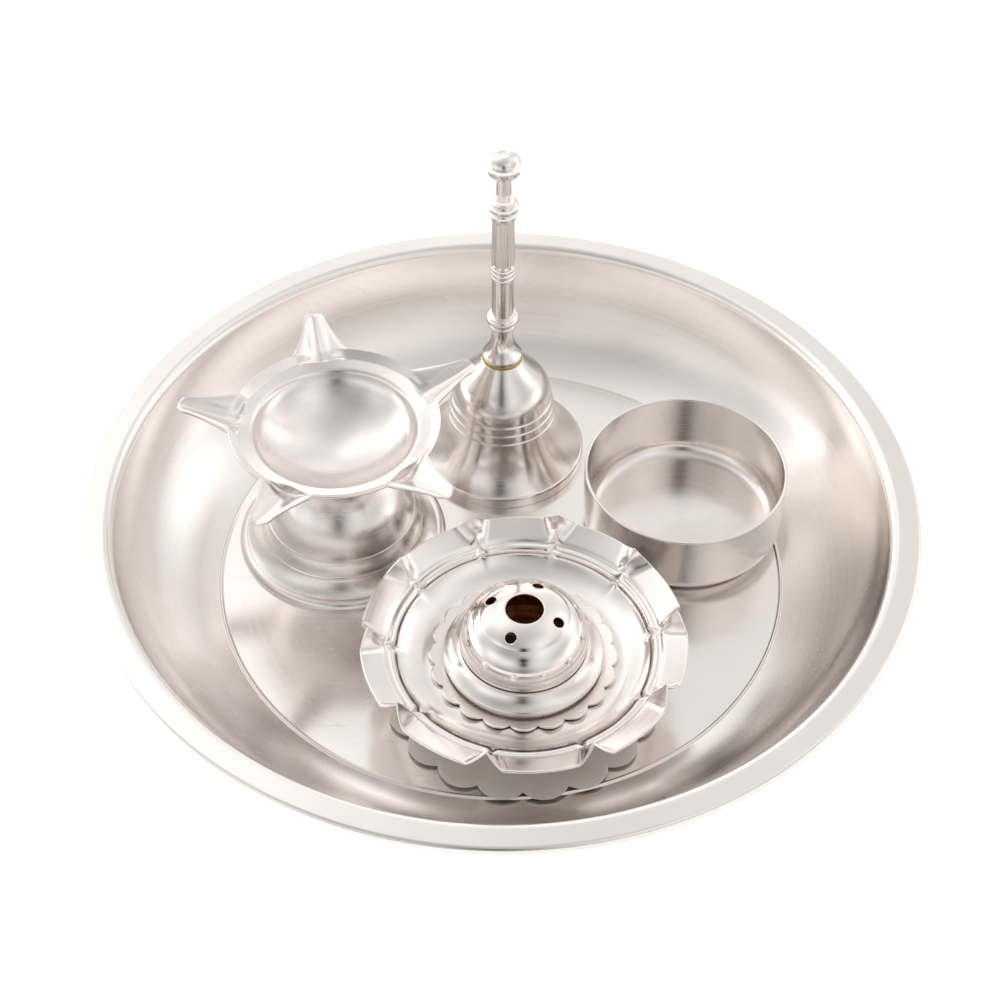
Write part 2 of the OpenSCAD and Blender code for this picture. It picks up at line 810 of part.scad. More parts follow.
function crimp_ring(r, z, half_w, rise, shift) =
    [for (c = crimp_columns())
        let (a = crimp_angle(c, r, half_w),
             crest = c[1] == 0 ? 1 : 0,
             q = r + crest * shift)
        [q * cos(a), q * sin(a), z + crest * rise]];

function crimp_rings() =
    let (inner_r = disc_d / 4,
         ledge_r = ledge_d / 2,
         edge_r = crimped_d / 2,
         trough_r = ledge_r * trough_share)
    concat(
        [crimp_ring(inner_r, 0, ridge_root_half_w, 0, 0)],
        [for (s = step_shares)
            crimp_ring(trough_r + (ledge_r - trough_r) * s[0], ledge_h * s[1], ridge_root_half_w, 0,
                kink_out * s[1] / 2)],
        [for (s = petal_rows)
            crimp_ring(ledge_r + (edge_r - ledge_r) * s, ledge_h + petal_rise * s,
                ridge_root_half_w + (ridge_half_w - ridge_root_half_w) * s,
                ridge_h * s, kink_out * (1 - s) - ridge_pull * s)]);

module stand_tray() {
    color(silver)
        at_stand()
            difference() {
                translate([0, 0, crimped_floor_h])
                    pressed(crimp_rings(), backed(crimp_rings(), stand_t));
                translate([0, 0, crimped_floor_h - stand_t - cut_over])
                    cylinder(h = stand_t + 2 * cut_over, d = screw_d + 2 * shaft_clear, $fn = small_fn);
            }
}

module stand_disc() {
    color(silver)
        at_stand()
            translate([0, 0, crimped_floor_h])
                difference() {
                    linear_extrude(stand_t)
                        lobed_outline(disc_d, disc_lobe_count);
                    translate([0, 0, -cut_over])
                        cylinder(h = stand_t + 2 * cut_over, d = screw_d + 2 * shaft_clear, $fn = small_fn);
                }
}

// The seat is a shallow spun dish with a bead, whose rim is a cone up to the foot of the dome
seat_z = crimped_floor_h + stand_t;
seat_wall_in = 1.6;
seat_wall_h = 1;
seat_bead_h = 1.9;
seat_bead_r = 1;
seat_bead_from = -55;
seat_bead_to = 55;
seat_lip_h = 5.6;
seat_corner_r = 0.8;
dome_bulge_share = 0.28;
dome_level_share = 0.3;
dome_bulge_r = dome_d * dome_bulge_share;
dome_middle = [dome_d / 2 - dome_bulge_r, seat_lip_h + dome_bulge_r * dome_level_share];
dome_foot_angle = -32;
dome_foot_r = dome_middle.x + dome_bulge_r * cos(dome_foot_angle);

// The dome's radius at a height over the seat's underside
function dome_r_at(z) =
    dome_middle.x + sqrt(dome_bulge_r * dome_bulge_r - pow(z - dome_middle.y, 2));

function seat_path() =
    let (r = seat_d / 2,
         wall_r = r - seat_wall_in)
    concat(
        [[screw_d / 2 + shaft_clear, 0]],
        arc([wall_r - seat_corner_r, seat_corner_r], seat_corner_r, -90, 0, few_steps),
        [[wall_r, seat_wall_h]],
        arc([r - seat_bead_r, seat_bead_h], seat_bead_r, seat_bead_from, seat_bead_to, few_steps),
        [[dome_r_at(seat_lip_h) + nest_clear + stand_t, seat_lip_h]]);

module stand_seat() {
    color(silver)
        at_stand()
            translate([0, 0, seat_z])
                rotate_extrude()
                    polygon(sheet(seat_path(), -stand_t));
}

// The dome stands on the seat's floor. Its cap is a shallow cone over a small step.
cap_step = 0.6;
cap_slope = -36;
dome_h = dome_top_h - stand_t;

function cap_point() =
    let (r = cap_d / 2)
    [r, dome_middle.y + sqrt(dome_bulge_r * dome_bulge_r - pow(r - dome_middle.x, 2))];

function dome_path() =
    let (edge = cap_point(),
         edge_angle = atan2(edge.y - dome_middle.y, edge.x - dome_middle.x))
    concat(
        [[dhoop_hole_d / 2, dome_h]],
        arc_to([dhoop_hole_d / 2 + cap_step, dome_h], [edge.x - cap_step, edge.y + cap_step],
            cap_slope, few_steps),
        arc(dome_middle, dome_bulge_r, edge_angle, dome_foot_angle, 2 * arc_steps),
        [[dome_foot_r, stand_t]]);

incense_ring_share = 0.77;
incense_first = 68;
incense_cutter_h = 4;

module stand_dome() {
    hole_r = cap_d / 2 * incense_ring_share;
    top = cap_point();
    lean = atan2(dome_h - top.y, top.x - dhoop_hole_d / 2);
    color(bright_silver)
        at_stand()
            translate([0, 0, seat_z])
                difference() {
                    spun(dome_path(), stand_t);
                    for (i = [0:incense_hole_count - 1])
                        rotate(incense_first + i * 360 / incense_hole_count)
                            translate([hole_r, 0, incense_hole_z(hole_r)])
                                rotate([0, lean, 0])
                                    cylinder(h = incense_cutter_h, d = incense_hole_d, center = true,
                                        $fn = small_fn);
                }
}

// Height of the cap's cone at a radius
function incense_hole_z(r) =
    let (top = cap_point())
    dome_h + (top.y - dome_h) * (r - dhoop_hole_d / 2) / (top.x - dhoop_hole_d / 2);

// One screw clamps the stand from the seat down to the base plate
screw_head_d = 8;
screw_head_h = 2.2;
screw_top_z = seat_z + stand_t + washer_t;
stand_nut_z = boss_h - nut_h;

module stand_screw() {
    color(steel)
        at_stand()
            union() {
                translate([0, 0, screw_top_z])
                    difference() {
                        cylinder(h = screw_head_h, d = screw_head_d, $fn = small_fn);
                        translate([0, 0, screw_head_h])
                            cube([screw_head_d + cut_over, slot_w, screw_head_h], center = true);
                    }
                translate([0, 0, stand_nut_z])
                    cylinder(h = screw_top_z - stand_nut_z, d = screw_d, $fn = small_fn);
            }
}
slot_w = 1.2;

module stand_washer() {
    color(steel)
        at_stand()
            translate([0, 0, screw_top_z - washer_t])
                plain_washer(screw_d + 2 * shaft_clear, washer_d, washer_t);
}

module stand_nut() {
    color(steel)
        at_stand()
            translate([0, 0, stand_nut_z])
                hex_nut(nut_h);
}

thali_plate();
lamp_foot();
lamp_bowl();
lamp_stud();
lamp_washer();
lamp_nut();
bell_body();
bell_ring();
bell_handle();
bell_washer();
bell_eye_nut();
clapper_link();
clapper_rod();
clapper_ball();
cup_body();
stand_base();
stand_pedestal();
stand_tray();
stand_disc();
stand_seat();
stand_dome();
stand_screw();
stand_washer();
stand_nut();
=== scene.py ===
import bpy
import numpy as np
from mathutils import Matrix, Vector


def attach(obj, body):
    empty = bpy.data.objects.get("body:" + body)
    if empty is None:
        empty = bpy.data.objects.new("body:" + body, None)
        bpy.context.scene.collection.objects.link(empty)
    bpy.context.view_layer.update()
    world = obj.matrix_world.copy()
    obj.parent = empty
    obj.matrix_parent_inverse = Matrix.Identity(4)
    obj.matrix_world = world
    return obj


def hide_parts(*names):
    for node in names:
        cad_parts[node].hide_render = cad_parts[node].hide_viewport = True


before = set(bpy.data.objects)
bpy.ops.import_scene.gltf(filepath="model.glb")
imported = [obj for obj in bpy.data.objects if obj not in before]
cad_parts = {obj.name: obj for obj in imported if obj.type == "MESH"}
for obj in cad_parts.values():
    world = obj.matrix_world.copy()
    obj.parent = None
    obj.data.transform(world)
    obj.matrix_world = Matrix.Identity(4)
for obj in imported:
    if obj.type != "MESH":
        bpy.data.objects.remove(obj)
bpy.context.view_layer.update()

# The tray. One disc of brass sheet spun over a former and silver plated: a flat floor with a bead
# ring, a hollow wall, a round bend and a flat rim with its edge turned down. The spinner's tool and
# the brush leave fine rings all over it.
FLOOR = 0.8
TRAY = (0, 0, 0)


def arc(middle, r, start, stop, steps):
    """Points at distance r from middle, at even angles from start to stop."""
    a = np.radians(np.linspace(start, stop, steps + 1))
    return np.column_stack([middle[0] + r * np.cos(a), middle[1] + r * np.sin(a)])


def arc_to(start, finish, slope, steps):
    """The circle's arc from start that reaches finish at a slope. Its whole turn is twice the angle
    between that slope and the chord."""
    way = np.subtract(finish, start)
    end = np.radians(slope)
    half = end - np.arctan2(way[1], way[0])
    r = np.hypot(*way) / (2 * np.sin(half))
    a = end - 2 * half * np.linspace(1, 0, steps + 1)
    return finish + r * np.column_stack([np.sin(a) - np.sin(end), np.cos(end) - np.cos(a)])


def joined(*parts):
    """The parts end to end, without points that repeat."""
    path = np.vstack([np.atleast_2d(p) for p in parts]).astype(float)
    return path[np.r_[True, np.hypot(*np.diff(path, axis=0).T) > 1e-3]]


def backed(path, t):
    """The path moved to its right by t. Each point moves along the mitre of its two segments."""
    step = np.diff(path, axis=0)
    step /= np.hypot(*step.T)[:, None]
    before, after = np.vstack([step[:1], step]), np.vstack([step, step[-1:]])
    mean = before + after
    mean /= np.hypot(*mean.T)[:, None]
    return path + t * np.column_stack([mean[:, 1], -mean[:, 0]]) / (mean * after).sum(1)[:, None]


def softened(loop, reach):
    """The closed loop with each corner over 12 degrees changed for a quadratic curve, which leaves
    and meets the sides a reach from the corner. Points on the axis stay."""
    before, after = loop - np.roll(loop, 1, 0), np.roll(loop, -1, 0) - loop
    lb, la = np.hypot(*before.T), np.hypot(*after.T)
    ub, ua = before / lb[:, None], after / la[:, None]
    corner = ((ub * ua).sum(1) < np.cos(np.radians(12))) & (loop[:, 0] > 1e-6)
    cut = np.where(corner, np.minimum(reach, 0.42 * np.minimum(lb, la)), 0)[:, None]
    s = np.linspace(0, 1, 5)[:, None, None]
    curve = (1 - s) ** 2 * (loop - cut * ub) + 2 * s * (1 - s) * loop + s**2 * (loop + cut * ua)
    keep = np.ones((5, len(loop)), bool)
    keep[1:, ~corner] = False
    return curve.transpose(1, 0, 2)[keep.T]


def braced(loop, gap, longest):
    """The loop with points added a gap from both ends of each long side, and at even lengths along
    the sides over the longest, so that smooth shading keeps flat parts flat."""
    s = np.r_[0, np.cumsum(np.hypot(*np.diff(loop, axis=0).T))]
    side = np.diff(s)
    fixed = np.r_[s, s[:-1][side > 4 * gap] + gap, s[1:][side > 4 * gap] - gap]
    even = np.arange(longest, s[-1], longest)
    on = side[np.clip(np.searchsorted(s, even) - 1, 0, len(side) - 1)] > longest
    apart = np.abs(even[:, None] - fixed).min(1) > gap
    at = np.unique(np.r_[fixed, even[on & apart]])
    return np.column_stack([np.interp(at, s, loop[:, 0]), np.interp(at, s, loop[:, 1])])


def sheet(path, t, reach=0.25, longest=6):
    """A sheet's section as a closed loop: the path, and behind it the path moved by t."""
    loop = softened(np.vstack([path, backed(path, t)[::-1]]), reach)
    if loop[0, 0] > 1e-6:
        loop = np.vstack([loop, loop[:1]])
        return braced(loop, reach, longest)[:-1]
    return braced(loop, reach, longest)


def skinned(name, grid, closed):
    """A mesh over a grid of points in mm, rows by columns. The columns close round, the rows close if
    asked, and a row that is one point becomes a pole. The signed volume, the sum of corner times
    corner cross corner, tells whether its faces have to be turned outwards."""
    rows, columns = grid.shape[:2]
    ids = np.arange(rows * columns).reshape(rows, columns)
    pole = np.ptp(grid, axis=1).max(1) < 1e-6
    ids[pole] = ids[pole][:, :1]
    low, high = (ids, np.roll(ids, -1, 0)) if closed else (ids[:-1], ids[1:])
    quads = np.stack([low, np.roll(low, -1, 1), np.roll(high, -1, 1), high], -1).reshape(-1, 4)
    used, quads = np.unique(quads, return_inverse=True)
    quads, points = quads.reshape(-1, 4), grid.reshape(-1, 3)[used]
    a, b, c, d = (points[quads[:, i]] for i in range(4))
    volume = (np.cross(a, b) * c).sum() + (np.cross(a, c) * d).sum()
    first, last = quads[:, 0] == quads[:, 1], quads[:, 2] == quads[:, 3]
    parts = [quads[~first & ~last], quads[first & ~last][:, 1:], quads[last & ~first][:, :3]]
    faces = [f for p in parts for f in (p if volume > 0 else p[:, ::-1]).tolist()]
    mesh = bpy.data.meshes.new(name)
    mesh.from_pydata((points * 0.001).tolist(), [], faces)
    mesh.shade_smooth()
    mesh.set_sharp_from_angle(angle=np.radians(50))
    piece = bpy.data.objects.new(name, mesh)
    bpy.context.scene.collection.objects.link(piece)
    return piece


def turned(loop, place, steps=256):
    """A section's radius and height carried round the upright axis at a place: rows by columns."""
    a = np.linspace(0, 2 * np.pi, steps, endpoint=False)
    r, z = loop[:, :1], loop[:, 1:]
    return np.stack([r * np.cos(a), r * np.sin(a), z + 0 * a], -1) + np.array(place)


def ripple(x, y, size):
    """A gentle unevenness between -1 and 1: the mean of five sine waves of about that size, each in
    a direction of its own."""
    turn = np.arange(5) * 1.257 + 0.4
    wave = 2 * np.pi / (size * np.array([1, 1.31, 0.83, 1.63, 0.71]))
    return np.mean([np.sin(w * (x * np.cos(t) + y * np.sin(t)) + 2.1 * t) for w, t in zip(wave, turn)], 0)


def colour(code):
    """An sRGB hex colour as linear light, with alpha 1."""
    c = np.array([int(code[i : i + 2], 16) for i in (1, 3, 5)]) / 255
    return (*np.where(c <= 0.04045, c / 12.92, ((c + 0.055) / 1.055) ** 2.4).tolist(), 1.0)


def add(tree, kind, inputs=None, **settings):
    """Adds a node with its settings. Each input is linked where a socket is given, or else set."""
    made = tree.nodes.new("ShaderNode" + kind)
    for key, value in settings.items():
        setattr(made, key, value)
    for key, value in (inputs or {}).items():
        if isinstance(value, bpy.types.NodeSocket):
            tree.links.new(value, made.inputs[key])
        else:
            made.inputs[key].default_value = value
    return made


def spun_plate(name, place, tint, deep, rough, uneven, line, groove, stretch, patch=24):
    """Electroplated silver over spun brass. The piece's own axis is at place, in mm. The ring lines
    are noise over radius and height alone, line mm apart and groove mm deep; the wide patches are
    noise of patch mm, and the handling marks are noise drawn out in one direction."""
    material = bpy.data.materials.new(name)
    material.use_nodes = True
    tree = material.node_tree
    tree.nodes.clear()
    spot = add(tree, "TexCoord").outputs["Object"]
    at = add(tree, "Mapping", {"Vector": spot, "Scale": (1000, 1000, 1000),
                               "Location": (-place[0], -place[1], -place[2])}).outputs[0]
    axes = add(tree, "SeparateXYZ", {0: at}).outputs
    flat = add(tree, "CombineXYZ", {0: axes[0], 1: axes[1]}).outputs[0]
    radius = add(tree, "VectorMath", {0: flat}, operation="LENGTH").outputs["Value"]
    ring = add(tree, "CombineXYZ", {0: radius, 1: axes[2]}).outputs[0]
    lines = add(tree, "TexNoise", {"Vector": ring, "Scale": 1 / line, "Detail": 4.0,
                                   "Roughness": 0.62}, noise_dimensions="2D").outputs[0]
    wide = add(tree, "TexNoise", {"Vector": ring, "Scale": 1 / (7 * line), "Detail": 2.0},
               noise_dimensions="2D").outputs[0]
    patches = add(tree, "TexNoise", {"Vector": at, "Scale": 1 / patch, "Detail": 3.0}).outputs[0]
    drawn = add(tree, "Mapping", {"Vector": at, "Rotation": (0.3, 0.2, 0.9),
                                  "Scale": (0.05, 1.5, 1.5)}).outputs[0]
    marks = add(tree, "TexNoise", {"Vector": drawn, "Scale": 1.0, "Detail": 2.0}).outputs[0]
    scratch = add(tree, "MapRange", {"Value": marks, "From Min": 0.66, "From Max": 0.72}).outputs[0]
    tone = add(tree, "MapRange", {"Value": patches, "From Min": 0.35, "From Max": 0.7}).outputs[0]
    base = add(tree, "Mix", {0: tone, 6: colour(tint), 7: colour(deep)}, data_type="RGBA").outputs[2]
    worn = add(tree, "MapRange", {"Value": lines, "From Min": 0.3, "From Max": 0.7,
                                  "To Min": rough - uneven, "To Max": rough + uneven}).outputs[0]
    dull = add(tree, "Math", {0: scratch, 1: 0.08, 2: worn}, operation="MULTIPLY_ADD").outputs[0]
    height = add(tree, "Math", {0: wide, 1: 2.0, 2: lines}, operation="MULTIPLY_ADD").outputs[0]
    relief = add(tree, "Bump", {"Height": height, "Distance": groove * 0.001, "Strength": 1.0})
    round_way = add(tree, "VectorMath", {0: (0, 0, 1), 1: at}, operation="CROSS_PRODUCT").outputs[0]
    surface = add(tree, "BsdfPrincipled", {
        "Base Color": base, "Metallic": 1.0, "Roughness": dull, "Normal": relief.outputs[0],
        "Tangent": round_way, "Anisotropic": stretch, "Anisotropic Rotation": 0.25})
    add(tree, "OutputMaterial", {0: surface.outputs[0]})
    return material


def fitted(piece, material, body, slot, *nodes):
    """Gives the piece its finish and body, and hides the CAD nodes it stands for. The slot argument is not
    used.
    """
    piece.data.materials.append(material)
    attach(piece, body)
    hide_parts(*nodes)
    return piece


TRAY_SHEET, BEND_R, WALL_SLOPE = 0.8, 3, 80
BEND_MIDDLE = (120.6, 30.8)
steep = np.radians(WALL_SLOPE)
wall_top = np.array(BEND_MIDDLE) + BEND_R * np.array([-np.sin(steep), np.cos(steep)])
BEAD_R, BEAD_HALF, BEAD_H = 88.3, 0.75, 0.5
bead_across = np.linspace(-1, 1, 13)
bead = np.column_stack([BEAD_R + BEAD_HALF * bead_across,
                        FLOOR + BEAD_H / 2 * (1 + np.cos(np.pi * bead_across))])
tray_path = joined(
    [0, FLOOR], [87.3, FLOOR], bead,
    arc_to((89.05, FLOOR), wall_top, WALL_SLOPE, 40),
    arc(BEND_MIDDLE, BEND_R, 170, 90, 12),
    arc((125.7, 32.5), 1.3, 90, 0, 10),
    [127, 31.7])
tray_grid = turned(sheet(tray_path, TRAY_SHEET), TRAY, 288)
reach_out = np.hypot(tray_grid[..., 0], tray_grid[..., 1])
# Spun sheet is never quite true: the floor and the wall wander by a few hundredths of a millimetre
swell = np.clip((reach_out - 4) / 30, 0, 1) * np.clip((119 - reach_out) / 14, 0, 1)
tray_grid[..., 2] += 0.07 * swell * ripple(tray_grid[..., 0], tray_grid[..., 1], 58)
brushed_silver = spun_plate("silver_plate_on_spun_brass_brushed", TRAY, "#f6f2ef", "#f0ebe7",
                            0.2, 0.025, 1.6, 0.0012, 0.6, 40)
fitted(skinned("tray", tray_grid, False), brushed_silver, "tray", "satin_silver", "thali_plate")

# The lamp's foot. A hollow spinning: a round dome over two stepped bands and a flange, clamped under
# the bowl. It has the same plate as the tray, with finer lines.
LAMP = (-50.8, 13.2, FLOOR)
LAMP_SHEET, FOOT_H, BORE_R = 0.9, 33, 2.1
foot_path = joined(
    [BORE_R, FOOT_H], [8, FOOT_H], [8.4, 32.6],
    arc_to((8, 30), (23.1, 12.3), -86, 28), [23.5, 12.3],
    arc_to((23.5, 11.9), (25.3, 7.3), -80, 12), [25.7, 6.9],
    arc_to((25.7, 6.5), (30.29, 2.5), -22, 12),
    arc_to((30.69, 2.7), (33, 0.8), -80, 10), [33, 0])
lamp_silver = spun_plate("silver_plate_on_spun_brass_satin", LAMP, "#f5f1ee", "#ece5e1",
                         0.25, 0.03, 0.9, 0.0012, 0.5)
fitted(skinned("lamp_foot_spun", turned(sheet(foot_path, LAMP_SHEET), LAMP), True), lamp_silver,
       "lamp", "satin_silver", "lamp_foot")

# The lamp's bowl. A pressed and polished dish: a deep round hollow under a shallow shoulder and a
# flared lip, with five drawn spouts for the wicks. Each is a round channel out to a round tip.
STUD_FLANGE = 0.8
BOWL_SEAT = np.add(LAMP, (0, 0, FOOT_H + STUD_FLANGE + LAMP_SHEET))
SPOUTS, SPOUT_TURN, SPOUT_HALF = 5, 30, 15.5
LIP_R, LIP_Z, LIP_SLOPE = 32, 16.3, np.tan(np.radians(37))
LINE_R, LINE_Z = 29.5, 14.416
# The spout's root and the middle of its round tip, along it and across it
root, tip = LIP_R * np.exp(1j * np.radians(SPOUT_HALF)), 44.6 + 3.4j


def rim_line(a):
    """Radius of the line under the lip at an angle from a spout: it dips inwards by a raised cosine."""
    return LINE_R - np.where(np.abs(a) < 14, 0.6 * (1 + np.cos(np.pi * a / 14)), 0)


def half_width(x):
    """Half a spout's width at a distance from the bowl's middle: a power curve from root to tip."""
    left = np.clip((tip.real - x) / (tip.real - root.real), 0, 1)
    return tip.imag + (root.imag - tip.imag) * left**1.25


def channel(r, a, depth):
    """Height in a spout: the lip's slope, plus a rise towards the tip, less a raised cosine across it."""
    x, y = r * np.cos(np.radians(a)), np.abs(r * np.sin(np.radians(a)))
    fold = 0.5 + 0.5 * np.cos(np.pi * np.clip(y / half_width(x), 0, 1))
    rise = 2.1 * np.clip((x - LIP_R) / 16, 0, None)
    return LIP_Z + LIP_SLOPE * np.minimum(r - LIP_R, 0) + rise - depth * fold


tip_turn = np.radians([0, 8, 18, 30, 44, 60, 76])
side_share = np.array([1, .93, .85, .76, .67, .58, .5, .42, .34, .26, .19, .13, .08, .04, 0])
side_x = root.real + (tip.real - root.real) * side_share
outline = np.r_[tip.real + tip.imag * np.exp(1j * tip_turn), side_x + 1j * half_width(side_x),
                LIP_R * np.exp(1j * np.radians([15.8, 16.4, 17.5, 19.5, 22.5, 26, 30, 33.5]))]
one_spout = np.r_[outline[:0:-1].conjugate(), outline, LIP_R * np.exp(1j * np.radians(36))]
off, edge_r = np.tile(np.degrees(np.angle(one_spout)), SPOUTS), np.tile(np.abs(one_spout), SPOUTS)
round_bowl = np.radians(np.repeat(SPOUT_TURN + 72 * np.arange(SPOUTS), len(one_spout)) + off)
# The hollow runs up to a bend of its section, which a quadratic curve rounds off
bent = np.array([25.28, 13.285])
wall_end = bent - 1.1 * np.array([np.cos(np.radians(64)), np.sin(np.radians(64))])
ledge_start = bent + 1.1 * np.array([np.cos(np.radians(15)), np.sin(np.radians(15))])
s = np.linspace(0, 1, 8)[1:, None]
hollow_end = (22, 8.704)
dish = np.vstack([arc_to((0, 0), hollow_end, 43, 24), arc_to(hollow_end, wall_end, 65, 10)[1:],
                  (1 - s) ** 2 * wall_end + 2 * s * (1 - s) * bent + s**2 * ledge_start])
wall_share = np.linspace(0, 1, 6)[1:]
foot_r, foot_z = dish[-1]
line_r = rim_line(off)
rows = [np.stack([r + 0 * off, z + 0 * off], -1) for r, z in dish]
rows += [np.stack([foot_r + (line_r - foot_r) * s, foot_z + (LINE_Z - foot_z) * s + 0 * off], -1)
         for s in wall_share]
spout_share = np.array([.05, .1, .16, .24, .34, .45, .56, .67, .78, .88, .95, 1])
spout_depth = 3.6 * np.interp(spout_share, [0, .14, .4, .7, 1], [0.35, 1, .85, .6, .25])
for share, depth in zip(spout_share, spout_depth):
    r = line_r + (edge_r - line_r) * share
    plain = LIP_Z - LIP_SLOPE * (LIP_R - r)
    rows.append(np.stack([r, np.where(np.abs(off) < SPOUT_HALF, channel(r, off, depth), plain)], -1))
rows = np.array(rows)
over = np.stack([rows[..., 0] * np.cos(round_bowl), rows[..., 0] * np.sin(round_bowl), rows[..., 1]], -1)


def leaf(over, t, bend_rows):
    """A pressed sheet between its upper side and a lower side t under it. The lower side is moved
    along the normal up to bend_rows and straight down, with a small lean, past them. The edge is
    rounded by a half circle of rows."""
    out = np.gradient(over, axis=0)
    across = np.roll(over, -1, 1) - np.roll(over, 1, 1)
    normal = np.cross(out, across)
    normal /= np.maximum(np.linalg.norm(normal, axis=-1, keepdims=True), 1e-9)
    normal[0] = (0, 0, 1)
    radial = over * (1, 1, 0)
    radial /= np.maximum(np.linalg.norm(radial, axis=-1, keepdims=True), 1e-9)
    rest = np.clip((np.arange(len(over)) - bend_rows) / (len(over) - 1 - bend_rows), 0, 1)[:, None, None]
    straight = radial * 0.4 * (1 - rest) - (0, 0, 1)
    past = (np.arange(len(over)) >= bend_rows)[:, None, None]
    below = over + t * np.where(past, straight, -normal)
    turn = np.radians([35, 65, 90, 115, 145])[:, None, None]
    middle, half = (over[-1] + below[-1]) / 2, (over[-1] - below[-1]) / 2
    edge = middle + np.cos(turn) * half + np.sin(turn) * 0.3 * t * radial[-1]
    return np.vstack([over, edge, below[::-1]])


pressed_silver = spun_plate("silver_plate_on_pressed_brass_polished", BOWL_SEAT, "#f6f1ef", "#eee7e3",
                            0.23, 0.03, 0.9, 0.0006, 0.25, 16)
bowl_grid = leaf(over, LAMP_SHEET, len(dish) + 4) + BOWL_SEAT
fitted(skinned("lamp_bowl_pressed", bowl_grid, False), pressed_silver, "lamp", "satin_silver", "lamp_bowl")

# The lamp's stud, washer and nut. Zinc-plated steel, cut on a lathe, and seen only from below. They
# clamp the bowl to the foot and keep the shapes of the solids.


def small_steel(name, place):
    """Zinc-plated turned steel: greyer than silver, with short tool lines."""
    return spun_plate(name, place, "#c3c4c6", "#a9aaad", 0.34, 0.06, 0.3, 0.004, 0.4, 6)


def dressed(material, *nodes):
    """Gives CAD nodes that stay as they are their finish."""
    for name in nodes:
        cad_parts[name].material_slots[0].material = material


dressed(small_steel("zinc_plated_steel_turned_lamp", LAMP), "lamp_stud", "lamp_washer", "lamp_nut")

# The bell. A cast brass bell turned outside, plated and polished. Its neck is hollow, three tool-cut
# grooves run round its shoulder, and the skirt flares to a lip.
BELL = (-0.2, 52, FLOOR)
BELL_H, NECK_R, BELL_WALL = 42, 6.6, 1.3
GROOVE_DEPTH, GROOVE_HALF = 0.32, 0.26
crown_end, shoulder_start, shoulder_end = (12.58, 34.44), (16.3, 26.04), (17.7, 18.984)
crown = joined(arc_to((NECK_R, BELL_H), crown_end, -46, 20), arc_to(crown_end, shoulder_start, -86, 30))
shoulder = np.linspace(shoulder_start, shoulder_end, 90)
skirt = arc_to(shoulder_end, (26.5, 4), -40, 36)
bell_path = joined([BORE_R, BELL_H], crown, shoulder, skirt, arc((26.5, 3.3), 0.7, 90, 0, 8), [27.2, 0])
bell_loop = np.vstack([bell_path, backed(bell_path, BELL_WALL)[::-1]])
outer = np.arange(len(bell_loop)) < len(bell_path)
for level in (19.404, 22.512, 25.62):
    away = (bell_loop[:, 1] - level) / GROOVE_HALF
    bell_loop[:, 0] -= GROOVE_DEPTH * np.exp(-(away**2)) * outer
bell_loop = braced(np.vstack([softened(bell_loop, 0.25), bell_loop[:1]]), 0.25, 6)[:-1]
bright_silver = spun_plate("silver_plate_on_turned_brass_bright_bell", BELL, "#f5f0ec", "#ebe4df",
                           0.19, 0.03, 0.6, 0.0008, 0.4, 14)
fitted(skinned("bell_cast", turned(bell_loop, BELL, 224), True), bright_silver,
       "bell", "bright_silver", "bell_body")

# The brass ring. A thin turned washer of bare brass, a little dull. It is clamped between the bell and
# its handle.
RING_TOP = 42.8
ring_loop = joined([BORE_R, RING_TOP], [NECK_R, RING_TOP], [NECK_R, BELL_H], [BORE_R, BELL_H])
bare_brass = spun_plate("brass_turned_bare", BELL, "#c9b370", "#a8935a", 0.28, 0.05, 0.3, 0.002, 0.3, 4)
ring_loop = braced(np.vstack([softened(ring_loop, 0.2), ring_loop[:1]]), 0.2, 6)[:-1]
fitted(skinned("bell_ring_turned", turned(ring_loop, BELL, 128), True), bare_brass,
       "bell", "brass_ring", "bell_ring")

# The handle. Turned from one brass bar: a flared base, two collars, three beads, a fluted shaft, a
# second pair of collars and an oblate knob. Its thread goes down through the bell.
HANDLE_H, SHAFT_R = 78.7, 3.6


def beaded(r, grow, low, high, steps=12):
    """A half-round bead between two heights, from the radius r out to grow."""
    a = np.radians(np.linspace(-90, 90, steps + 1))
    return np.column_stack([r + (grow - r) * np.cos(a),
                            ((low + high) / 2 + (high - low) / 2 * np.sin(a)) * HANDLE_H])


slim = SHAFT_R * 0.94
thirds = np.linspace(0.405, 0.472, 4)
handle_path = joined(
    [0, -5.3], [2, -5.3], [2, 0], [6.3, 0],
    arc_to((6.3, 0.016 * HANDLE_H), (slim, 0.125 * HANDLE_H), 92, 20),
    beaded(slim, 4.28, 0.157, 0.18), beaded(slim, 5.1, 0.18, 0.222),
    beaded(slim, 3.74, thirds[0], thirds[1]), beaded(slim, 3.74, thirds[1], thirds[2]),
    beaded(slim, 3.74, thirds[2], thirds[3]), [SHAFT_R, 0.4725 * HANDLE_H],
    np.column_stack([np.full(30, SHAFT_R), np.linspace(0.48, 0.703, 30) * HANDLE_H]),
    beaded(SHAFT_R, 4.28, 0.711, 0.741), beaded(slim, 4.82, 0.741, 0.788),
    [3.1, 0.8 * HANDLE_H], [2.88, 0.83 * HANDLE_H],
    arc_to((2.88, 0.902 * HANDLE_H), (5.7, 0.952 * HANDLE_H), 90, 12),
    arc_to((5.7, 0.952 * HANDLE_H), (1.88, HANDLE_H), 175, 18),
    [1.1, HANDLE_H - 0.12], [0, HANDLE_H - 0.16])
handle_loop = braced(softened(handle_path, 0.12), 0.12, 4)
handle_grid = turned(handle_loop, (0, 0, RING_TOP), 240)
angle = np.arctan2(handle_grid[..., 1], handle_grid[..., 0])
along = (handle_grid[..., 2] - RING_TOP) / HANDLE_H
